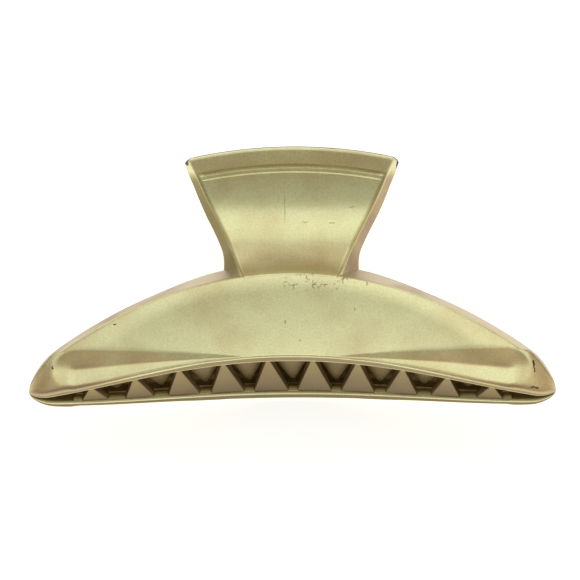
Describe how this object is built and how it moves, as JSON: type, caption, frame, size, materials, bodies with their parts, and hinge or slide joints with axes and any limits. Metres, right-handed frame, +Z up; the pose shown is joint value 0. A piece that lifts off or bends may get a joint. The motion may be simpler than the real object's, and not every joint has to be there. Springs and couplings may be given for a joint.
{
  "type": "hair claw clip",
  "caption": "Sprung plastic claw clip for hair: two bowed jaws with interleaved toothed combs and fan-shaped thumb handles on a hinge pin.",
  "frame": {"origin": "middle of the bottom of the closed clip's box, on the surface that it lies on", "axes": "+X along the jaws and the hinge pin, +Y towards the thumb handles, +Z up from the back jaw to the front jaw"},
  "size_m": [0.1, 0.0486, 0.0259],
  "materials": {
    "painted_plastic": "satin gold paint over dark brown moulded plastic",
    "steel_pin": "plain drawn steel",
    "spring_wire": "bright wound spring wire"
  },
  "bodies": {
    "back": {"back_jaw": "painted_plastic", "hinge_pin": "steel_pin", "torsion_spring": "spring_wire"},
    "front": {"front_jaw": "painted_plastic"}
  },
  "joints": [
    {"name": "jaw_hinge", "type": "hinge", "parent": "back", "child": "front", "pos_m": [0, 0.00143, 0.01208], "axis": [-1, 0, 0], "range_deg": [0, 38], "stiffness_Nm_per_rad": 0.12, "springref_deg": -51.57, "deforming": ["torsion_spring"]}
  ]
}
